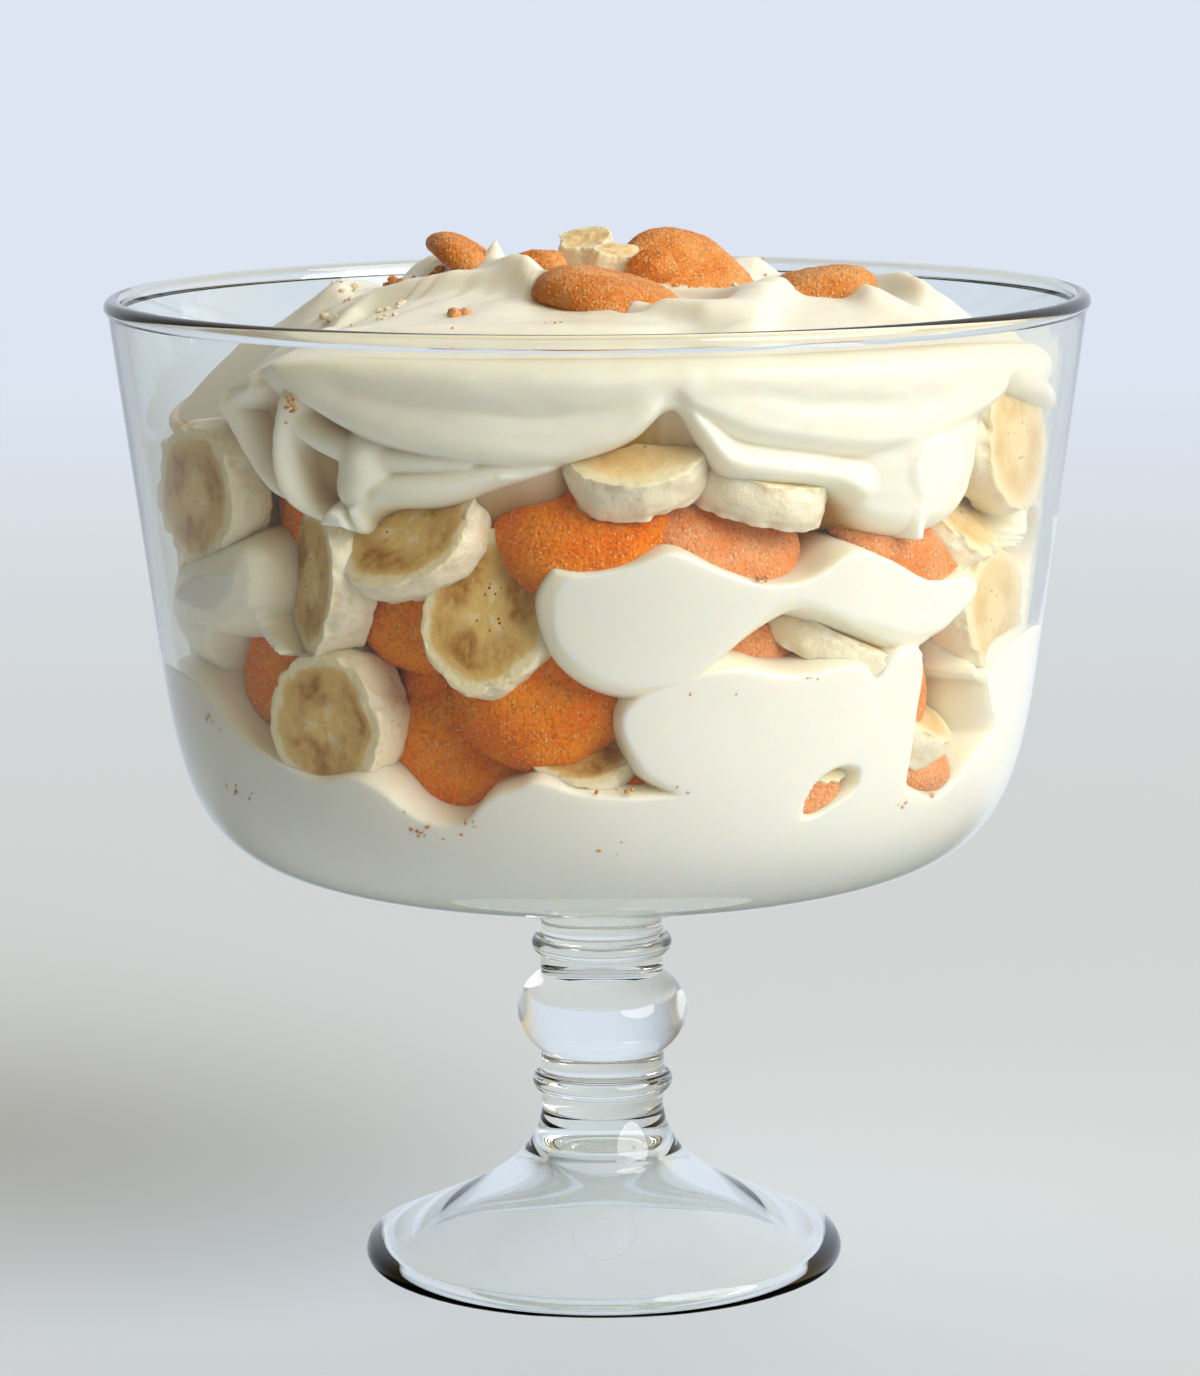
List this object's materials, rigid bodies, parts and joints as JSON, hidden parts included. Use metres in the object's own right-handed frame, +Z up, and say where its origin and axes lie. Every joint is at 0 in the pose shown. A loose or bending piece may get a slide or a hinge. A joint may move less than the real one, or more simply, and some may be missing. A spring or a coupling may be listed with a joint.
{
  "type": "banana pudding in a footed glass trifle bowl",
  "caption": "Layered banana pudding with banana slices, vanilla wafers and swirled cream in a clear glass bowl on a ball stem and hollow foot",
  "frame": {"origin": "centre of the foot's underside, on the surface that the bowl stands on", "axes": "+Z up along the stem, -Y towards the side that the picture shows, +X to that side's right"},
  "size_m": [0.22, 0.219, 0.2351],
  "materials": {
    "glass": "clear polished glass",
    "pudding": "soft satin pudding",
    "cream": "smooth whipped cream",
    "wafer": "dry baked crust with fine grain",
    "banana": "moist cut fruit"
  },
  "bodies": {
    "root": {"banana_back_lower_1": "banana", "banana_back_lower_3": "banana", "banana_back_lower_5": "banana", "banana_back_upper_2": "banana", "banana_back_upper_4": "banana", "banana_back_upper_6": "banana", "banana_base_1": "banana", "banana_base_2": "banana", "banana_lower_1": "banana", "banana_lower_2": "banana", "banana_lower_3": "banana", "banana_lower_4": "banana", "banana_lower_5": "banana", "banana_top_1": "banana", "banana_top_2": "banana", "banana_upper_1": "banana", "banana_upper_2": "banana", "banana_upper_3": "banana", "banana_upper_4": "banana", "banana_upper_5": "banana", "banana_upper_6": "banana", "banana_upper_7": "banana", "banana_upper_8": "banana", "cream_top": "cream", "glass_bowl": "glass", "pudding_lower": "pudding", "pudding_middle": "pudding", "wafer_back_lower_2": "wafer", "wafer_back_lower_4": "wafer", "wafer_back_lower_6": "wafer", "wafer_back_upper_1": "wafer", "wafer_back_upper_3": "wafer", "wafer_back_upper_5": "wafer", "wafer_base_1": "wafer", "wafer_base_2": "wafer", "wafer_base_3": "wafer", "wafer_lower_1": "wafer", "wafer_lower_2": "wafer", "wafer_lower_3": "wafer", "wafer_lower_4": "wafer", "wafer_lower_5": "wafer", "wafer_lower_6": "wafer", "wafer_lower_7": "wafer", "wafer_lower_8": "wafer", "wafer_top_1": "wafer", "wafer_top_2": "wafer", "wafer_top_3": "wafer", "wafer_top_4": "wafer", "wafer_top_5": "wafer", "wafer_top_6": "wafer", "wafer_upper_1": "wafer", "wafer_upper_2": "wafer", "wafer_upper_3": "wafer", "wafer_upper_4": "wafer", "wafer_upper_5": "wafer"}
  },
  "joints": []
}
